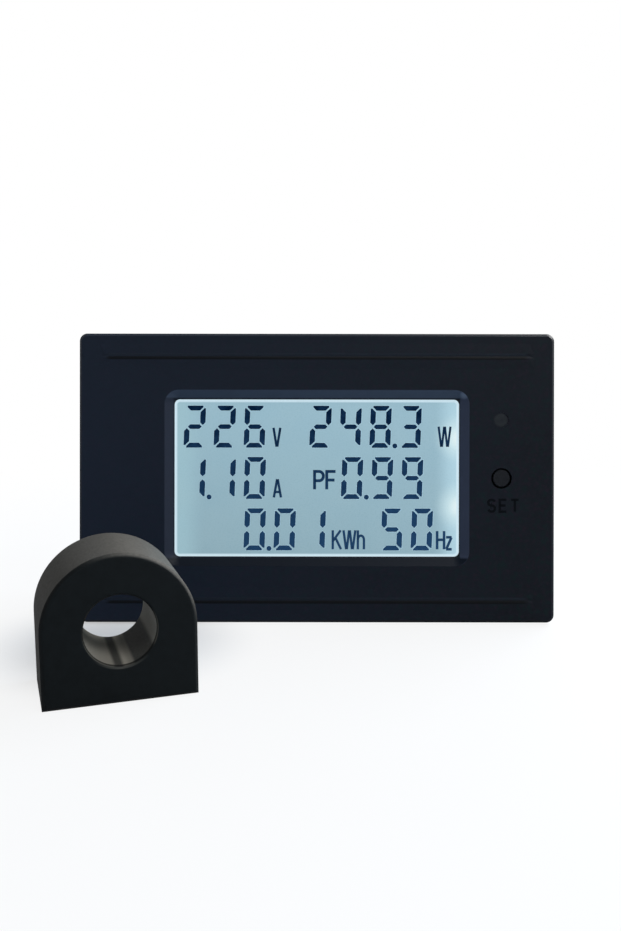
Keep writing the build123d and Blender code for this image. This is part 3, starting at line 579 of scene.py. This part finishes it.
def display_ink(name, top, low):
    """Darkened liquid crystal, of one colour at the top of the display and another at its bottom."""
    f = Finish(name)
    cloud = f.noise(1.6)
    height = f.split(f.place())[1]
    f.set(Base_Color=f.blend(f.span(height, -INK_HEIGHT * MM, INK_HEIGHT * MM), low, top))
    f.lay(tint(low, 1.25), f.span(cloud, 0.35, 0.7, 0.0, 0.3))
    f.set(Specular_IOR_Level=0.05, Emission_Color=f.colour(), Emission_Strength=0.35)
    f.set(Roughness=f.swing(cloud, 0.28, 0.38))
    return f


def engraved_black():
    """Black of the word under the key."""
    f = Finish("engraved_black")
    fine = f.noise(0.2)
    f.set(Base_Color=f.blend(fine, *WORD_TINTS), Specular_IOR_Level=0.05)
    f.set(Roughness=f.swing(fine, 0.6, 0.75), Normal=f.bump(fine, depth_mm=0.01))
    return f


def metal(name, colour, rough=0.3, brush=(1, 1, 1)):
    """Plated metal with fine scratches and slight staining."""
    f = Finish(name)
    scratch = f.noise(0.12, detail=3.0, roughness=0.65, stretch=brush)
    f.set(Base_Color=f.blend(f.span(f.noise(1.8, detail=3.0), 0.4, 0.75), colour, tint(colour, 0.85)))
    f.set(Metallic=1.0, Roughness=f.swing(scratch, rough - 0.08, rough + 0.12))
    f.set(Normal=f.bump(scratch, depth_mm=0.004, strength=0.6))
    return f


def clear(name, colour):
    """Clear plate, tinted faintly."""
    f = Finish(name)
    cloud = f.noise(3.0)
    f.set(Base_Color=f.blend(cloud, colour, tint(colour, 0.94)), Transmission_Weight=0.85, IOR=1.5)
    f.set(Roughness=f.swing(cloud, 0.05, 0.1))
    return f


def board_laminate():
    """Green solder resist with the weave of the laminate under it."""
    f = Finish("board_laminate")
    weave = f.noise(0.5, stretch=(1, 0.3, 1))
    f.set(Base_Color=f.blend(f.swing(weave), *BOARD_TINTS))
    f.set(Roughness=f.swing(weave, 0.3, 0.45), Normal=f.bump(weave, depth_mm=0.01, strength=0.6))
    return f


def winding_copper():
    """Enamelled wire, wound side by side."""
    f = metal("winding_copper", COPPER, rough=0.34)
    turns = f.put("TexWave", {"Vector": f.place(), "Scale": WIRE_SCALE, "Distortion": WIRE_UNEVEN})
    f.set(Normal=f.bump(turns.outputs["Fac"], depth_mm=0.05, strength=0.8))
    return f


def transformer_plastic():
    """Smooth black moulding of the transformer's case, with painted light on its top, painted shade on its left
    shoulder, and painted reflections, painted shade and a painted highlight in and under its bore.
    """
    f = moulded_plastic("transformer_plastic", TRANSFORMER, rough=0.5, grain_mm=0.35,
                        relief_mm=0.008, edge_wear_and_highlight=0.4, specular=0.08, edge_mm=0.6)
    f.set(Sheen_Weight=0.09, Sheen_Roughness=0.4, Sheen_Tint=TRANSFORMER_SHEEN)
    across, height, out = f.split(f.place_on(BORE))
    axis = BORE.col[2].to_3d()
    mouth = (reach("ct_case", axis) - axis.dot(BORE.translation)) / MM
    off_axis = f.math("SQRT", f.math("ADD", f.math("POWER", across, 2.0), f.math("POWER", height, 2.0)))
    angle = f.math("ARCTAN2", across, f.math("MULTIPLY", height, -1.0))
    inside = f.span(off_axis, BORE_R + BORE_SKIN, BORE_R + 2 * BORE_SKIN, 1.0, 0.0)
    # Painted reflections: light and dark streaks round the bore's wall
    f.lay(BORE_REFLECTION, inside, f.ramp(angle, BORE_REFLECTION_STREAKS))
    # Painted shade: a dark rim just inside the bore's mouth
    f.lay(BORE_RIM_SHADE, inside, f.span(out, mouth - RIM_DEEP - RIM_FADE, mouth - RIM_DEEP, 0.0, 0.9))
    # Painted highlight: a light edge under the bore's mouth
    f.lay(CRESCENT_HIGHLIGHT, f.band(off_axis, *CRESCENT_R),
          f.span(f.math("ABSOLUTE", angle), 0.0, CRESCENT_HALF, 0.8, 0.0),
          f.span(out, *(mouth + skin for skin in CRESCENT_SKIN)))
    outside = f.span(off_axis, *OUTER_SKIN)
    above = f.span(height, *OUTER_ABOVE, smooth=True)
    # Painted shade on the left shoulder of the top
    f.lay(SHOULDER_SHADE, outside, f.span(across, *SHOULDER_SHADE_ACROSS, 0.0, 0.7, smooth=True), above)
    # Painted light on the top, lighter towards its right and patchy
    patchy = f.swing(f.noise(0.5, detail=3.0, roughness=0.6), 0.6, 1.0)
    f.lay(TOP_LIGHT, outside, f.span(across, *TOP_LIGHT_ACROSS, smooth=True), above, patchy)
    return f


def slot_finishes():
    """One material for each slot of the record."""
    finishes = {
        "housing_plastic": housing_plastic(),
        "transformer_plastic": transformer_plastic(),
        "display_film": display_film(),
        "board_laminate": board_laminate(),
        "winding_copper": winding_copper(),
    }
    for make, looks in ((moulded_plastic, PLASTICS), (metal, METALS), (clear, CLEARS)):
        for name, look in looks.items():
            finishes[name] = make(name, **look)
    return finishes


def dress_nodes():
    """Give every CAD node the material of its slot."""
    finishes = slot_finishes()
    for part in frame["record"]["subparts"]:
        mesh = nodes[part["node"]].data
        mesh.materials.clear()
        mesh.materials.append(finishes[part["material_slot"]].material)
        for polygon in mesh.polygons:
            polygon.material_index = 0


def grown(outline, amount):
    """A convex outline moved outwards on every side."""
    count = len(outline)
    area = sum(outline[i][0] * outline[(i + 1) % count][1] - outline[(i + 1) % count][0] * outline[i][1]
               for i in range(count))
    turn = 1 if area > 0 else -1
    lines = []
    for i in range(count):
        a, b = Vector(outline[i]), Vector(outline[(i + 1) % count])
        normal = Vector(((b - a).y, -(b - a).x)).normalized() * turn
        lines.append((a + normal * amount, b - a))
    points = []
    for i in range(count):
        (p, d), (q, e) = lines[i - 1], lines[i]
        cross = d.x * e.y - d.y * e.x
        step = ((q - p).x * e.y - (q - p).y * e.x) / cross
        points.append(p + d * step)
    return points


def segment_outlines():
    """Outlines of the seven segments of one upright figure, from its lower left corner."""
    w, h, mid = DIGIT_W, DIGIT_H, DIGIT_H / 2
    a, u, gap, half = STROKE_ACROSS, STROKE_UP, CORNER_GAP, BAR_HALF
    cut = CORNER_GAP + CORNER_CUT
    low_tip, high_tip = mid - TIP_GAP, mid + TIP_GAP
    top = [(cut, h), (w - cut, h), (w - cut, h - CORNER_CUT), (w - gap - a, h - a), (gap + a, h - a),
           (cut, h - CORNER_CUT)]
    upper_right = [(w, h - cut), (w, high_tip + u / 2), (w - u / 2, high_tip), (w - u, high_tip + u / 2),
                   (w - u, h - gap - u), (w - CORNER_CUT, h - cut)]
    bar = [(BAR_INSET, mid), (BAR_INSET + half, mid + half), (w - BAR_INSET - half, mid + half),
           (w - BAR_INSET, mid), (w - BAR_INSET - half, mid - half), (BAR_INSET + half, mid - half)]

    def flipped(points):
        return [(x, h - y) for x, y in points]

    def swapped(points):
        return [(w - x, y) for x, y in points]

    return {
        "a": top, "d": flipped(top), "b": upper_right, "c": flipped(upper_right),
        "f": swapped(upper_right), "e": flipped(swapped(upper_right)), "g": bar,
    }


def reading_outlines(left, base, text, spread=0.0):
    """Outlines of a row of figures and dots, in millimetres on the display."""
    segments = segment_outlines()
    outlines = []
    x = left
    for sign in text:
        if sign == ".":
            centre = Vector((x - DOT_BACK, base + DOT_UP))
            turns = [2 * math.pi * i / DOT_SIDES for i in range(DOT_SIDES)]
            outlines.append([centre + Vector((math.cos(t), math.sin(t))) * (DOT_R + spread) for t in turns])
            continue
        for letter in LIT[sign]:
            points = grown(segments[letter], spread) if spread else [Vector(p) for p in segments[letter]]
            outlines.append([Vector((x + p.x + math.tan(SLANT) * p.y, base + p.y)) for p in points])
        x += DIGIT_PITCH
    return outlines


def arc(centre, radius_x, radius_y, start, end, steps=10):
    """Points along part of an ellipse, angles in degrees."""
    angles = [math.radians(start + (end - start) * i / steps) for i in range(steps + 1)]
    return [(centre[0] + radius_x * math.cos(t), centre[1] + radius_y * math.sin(t)) for t in angles]


# Letters as pen strokes: width, then lines through points; letter height is 1
LETTERS = {
    "V": (0.44, [[(0.0, 1.0), (0.2, 0.0)], [(0.24, 0.0), (0.44, 1.0)]]),
    "W": (0.66, [[(0.0, 1.0), (0.145, 0.0)], [(0.185, 0.0), (0.31, 1.0)], [(0.35, 1.0), (0.475, 0.0)],
                 [(0.515, 0.0), (0.66, 1.0)]]),
    "A": (0.46, [[(0.0, 0.0), (0.21, 1.0)], [(0.25, 1.0), (0.46, 0.0)], [(0.08, 0.3), (0.38, 0.3)]]),
    "P": (0.42, [[(0.0, 0.0), (0.0, 1.0), *arc((0.22, 0.74), 0.2, 0.26, 90, -90), (0.0, 0.48)]]),
    "F": (0.42, [[(0.0, 0.0), (0.0, 1.0), (0.42, 1.0)], [(0.0, 0.52), (0.37, 0.52)]]),
    "K": (0.46, [[(0.0, 0.0), (0.0, 1.0)], [(0.44, 1.0), (0.0, 0.42)], [(0.15, 0.6), (0.46, 0.0)]]),
    "h": (0.34, [[(0.0, 0.0), (0.0, 1.0)],
                 [(0.0, 0.5), *arc((0.17, 0.5), 0.17, 0.22, 160, 0), (0.34, 0.0)]]),
    "H": (0.42, [[(0.0, 0.0), (0.0, 1.0)], [(0.42, 0.0), (0.42, 1.0)], [(0.0, 0.52), (0.42, 0.52)]]),
    "z": (0.34, [[(0.0, 0.66), (0.34, 0.66)], [(0.32, 0.64), (0.02, 0.02)], [(0.0, 0.0), (0.34, 0.0)]]),
    "S": (0.52, [[*arc((0.26, 0.76), 0.26, 0.24, 20, 270, 14),
                  *arc((0.26, 0.26), 0.26, 0.26, 90, -160, 14)]]),
    "E": (0.5, [[(0.5, 1.0), (0.0, 1.0), (0.0, 0.0), (0.5, 0.0)], [(0.0, 0.52), (0.44, 0.52)]]),
    "T": (0.56, [[(0.0, 1.0), (0.56, 1.0)], [(0.28, 1.0), (0.28, 0.0)]]),
}

# Space between the letters of a word, in the same measure as their widths
LETTER_GAP = {"KWh": 0.14, "Hz": 0.12, "PF": 0.16, "SET": 0.37}

# A sharp corner's mitre is cut off where the bisector lies further than this from the line, as a cosine
MITRE_LIMIT = 0.32


def pen_stroke(points, pen):
    """Four-cornered pieces of a line of even width, one for each run, meeting in mitres."""
    points = [Vector(point) for point in points]
    sides = []
    for i, point in enumerate(points):
        before = (point - points[i - 1]).normalized() if i else None
        after = (points[i + 1] - point).normalized() if i + 1 < len(points) else None
        along = ((before or after) + (after or before)).normalized()
        across = Vector((-along.y, along.x))
        stretch = 1 / max(MITRE_LIMIT, along.dot(after or before))
        sides.append((point + across * pen / 2 * stretch, point - across * pen / 2 * stretch))
    return [[sides[i][0], sides[i + 1][0], sides[i + 1][1], sides[i][1]] for i in range(len(points) - 1)]


def word_outlines(text, left, right, bottom, top, pen):
    """Outlines of a word that fills a box."""
    gap = LETTER_GAP.get(text, 0.0)
    width = sum(LETTERS[sign][0] for sign in text) + gap * (len(text) - 1)
    scale_x = (right - left - pen) / width
    scale_y = top - bottom - pen
    outlines = []
    x = 0.0
    for sign in text:
        advance, strokes = LETTERS[sign]
        for stroke in strokes:
            placed = [(left + pen / 2 + (x + px) * scale_x, bottom + pen / 2 + py * scale_y)
                      for px, py in stroke]
            outlines += pen_stroke(placed, pen)
        x += advance + gap
    return outlines


def add_mesh(name, work, finish, place=Matrix.Identity(4)):
    """Make an object of one material from a worked mesh."""
    mesh = bpy.data.meshes.new(name)
    work.to_mesh(mesh)
    work.free()
    mesh.materials.append(finish.material)
    piece = bpy.data.objects.new(name, mesh)
    piece.matrix_world = place
    bpy.context.scene.collection.objects.link(piece)
    return piece


def close_sides(work, lower, upper):
    """Join two rings of the same number of corners by a face at each side."""
    for i in range(len(lower)):
        j = (i + 1) % len(lower)
        work.faces.new((lower[i], lower[j], upper[j], upper[i]))


def thin_plates(name, outlines, place, thickness, lift, finish):
    """Flat outlines made into one mesh of thin plates on a surface."""
    work = bmesh.new()
    for outline in outlines:
        lower = [work.verts.new((p.x * MM, p.y * MM, lift * MM)) for p in outline]
        upper = [work.verts.new((p.x * MM, p.y * MM, (lift + thickness) * MM)) for p in outline]
        work.faces.new(upper)
        work.faces.new(list(reversed(lower)))
        close_sides(work, lower, upper)
    bmesh.ops.recalc_face_normals(work, faces=work.faces)
    piece = add_mesh(name, work, finish, place)
    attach(piece, "meter")


def sink_relief(name, side, finish):
    """Sink line on the face: a shallow valley between two faint swells, flat past its ends."""
    across = ((SINK_SWELL, 0.0), (SINK_HALF, SINK_DEEP), (0.0, 0.0), (-SINK_HALF, SINK_DEEP),
              (-SINK_SWELL, 0.0))
    along = ((-SINK_COVER, SINK_FLAT), (-SINK_END - SINK_TAPER, SINK_FLAT), (-SINK_END, 1.0),
             (SINK_END, 1.0), (SINK_END + SINK_TAPER, SINK_FLAT))
    work = bmesh.new()
    rings = []
    for x, share in along:
        upper = [(up, max(height * share, SINK_DEEP * SINK_FLAT / 2)) for up, height in across]
        ring = [*upper, (-SINK_SWELL, SINK_UNDER), (SINK_SWELL, SINK_UNDER)]
        points = [FACE @ (Vector((x, side * SINK_AT + up, out)) * MM) for up, out in ring]
        rings.append([work.verts.new(point) for point in points])
    for a, b in zip(rings, rings[1:]):
        close_sides(work, a, b)
    work.faces.new(rings[0])
    work.faces.new(rings[-1])
    bmesh.ops.recalc_face_normals(work, faces=work.faces)
    piece = add_mesh(name, work, finish)
    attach(piece, "meter")


def display_signs():
    """Figures, dots and units of the display, with the pale line of painted light that surrounds each figure."""
    ink = display_ink("display_ink", INK_TOP, INK_LOW)
    halo = display_ink("display_halo", HALO_LIGHT, HALO_LIGHT)
    for name, row, left, text in READINGS:
        plain = reading_outlines(left, ROW_BASE[row], text)
        wide = reading_outlines(left, ROW_BASE[row], text, HALO_W)
        thin_plates(f"halo_{name}", wide, FILM, HALO_T, HALO_LIFT, halo)
        thin_plates(f"figures_{name}", plain, FILM, FIGURE_T, FIGURE_LIFT, ink)
    for name, text, left, right, bottom, top, pen in UNITS:
        outlines = word_outlines(text, left, right, bottom, top, pen)
        thin_plates(name, outlines, FILM, FIGURE_T, FIGURE_LIFT, ink)


def key_word():
    """Word under the key."""
    name, text, left, right, bottom, top, pen = KEY_WORD
    outlines = word_outlines(text, left, right, bottom, top, pen)
    thin_plates(name, outlines, FACE, WORD_T, WORD_LIFT, engraved_black())


def sink_lines():
    """The two sink lines on the face, with their painted highlight and painted shade."""
    finish = sink_plastic_with_painted_light()
    sink_relief("sink_line_top", 1, finish)
    sink_relief("sink_line_bottom", -1, finish)


class WorldFinish(Finish):
    """The same short calls for the world's own nodes."""

    def __init__(self, name):
        self.world = bpy.data.worlds.new(name)
        self.world.use_nodes = True
        self.tree = self.world.node_tree
        self.shader = self.tree.nodes["Background"]


def white_world():
    """White for the camera; in reflections bright at the sides and high behind, and dim elsewhere."""
    f = WorldFinish("studio")
    bpy.context.scene.world = f.world
    across, depth, height = f.split(f.put("TexCoord").outputs["Generated"])
    overhead = f.span(height, 0.6, 0.9, 1.0, 0.35, smooth=True)
    horizon = f.span(height, 0.2, 0.5, 0.2, 1.0, smooth=True)
    behind = f.span(depth, -0.5, 0.4, 0.08, horizon, smooth=True)
    beside = f.span(f.math("ABSOLUTE", across), 0.6, 0.95, 0.0, 0.8, smooth=True)
    reflected = f.math("MULTIPLY", overhead, f.math("MAXIMUM", behind, beside))
    f.set(Color=WHITE, Strength=f.math("MAXIMUM", f.ray_share(1.0, reflected), WORLD_LIGHT))


def floor():
    """Pale blue-grey table with a faint grain; it shows near white, with painted shade in a place between the
    transformer and the meter, but keeps the shadows.
    """
    f = Finish("table_top")
    cloud = f.noise(40.0, detail=3.0)
    f.set(Base_Color=f.blend(cloud, *TABLE_TINTS), Specular_IOR_Level=0.2)
    f.set(Roughness=f.swing(cloud, 0.6, 0.7), Normal=f.bump(f.noise(0.8), depth_mm=0.01, strength=0.3))
    # Painted shade: in a fixed round place between the transformer and the meter the table shows less white
    shade = f.span(f.vector("DISTANCE", f.place(), SHADE_AT), *SHADE_R, SHADE_WHITE, 1.0, smooth=True)
    near = f.span(f.vector("LENGTH", f.place()), *NEAR_R, NEAR_WHITE, 1.0, smooth=True)
    white = f.put("Emission", {"Color": WHITE, "Strength": f.ray_share(1.0, REFLECTED_TABLE)})
    both = f.put("MixShader")
    f.feed(both.inputs[0], f.ray_share(f.math("MULTIPLY", near, shade), 1.0))
    f.feed(both.inputs[1], f.shader.outputs["BSDF"])
    f.feed(both.inputs[2], white.outputs["Emission"])
    f.feed(f.tree.nodes["Material Output"].inputs["Surface"], both.outputs["Shader"])
    work = bmesh.new()
    bmesh.ops.create_grid(work, x_segments=TABLE_PANELS, y_segments=TABLE_PANELS, size=TABLE_W / 2)
    piece = add_mesh("table", work, f)


def lamp(name, place, size, watts):
    """Soft lamp that faces the objects."""
    data = bpy.data.lights.new(name, "AREA")
    data.shape = "RECTANGLE"
    data.size, data.size_y = size
    data.energy = watts
    piece = bpy.data.objects.new(name, data)
    piece.location = place
    piece.rotation_mode = "QUATERNION"
    piece.rotation_quaternion = (Vector(LAMP_TARGET) - Vector(place)).to_track_quat("-Z", "Y")
    bpy.context.scene.collection.objects.link(piece)


def studio():
    """World, table and soft lamps."""
    white_world()
    floor()
    for name, place, size, watts in LAMPS:
        lamp(name, place, size, watts)


def camera():
    """The photograph's view."""
    data = bpy.data.cameras.new("camera")
    data.lens = CAMERA_FOCAL
    data.sensor_width = CAMERA_SENSOR
    data.clip_start = CAMERA_NEAR
    piece = bpy.data.objects.new("camera", data)
    piece.location = FACE.translation + Vector(CAMERA_OFFSET) * MM
    piece.rotation_euler = (math.radians(90 - CAMERA_PITCH), math.radians(CAMERA_ROLL), 0)
    bpy.context.scene.collection.objects.link(piece)
    bpy.context.scene.camera = piece


dress_nodes()
display_signs()
key_word()
sink_lines()
studio()
camera()
bpy.context.scene.view_settings.view_transform = "Standard"
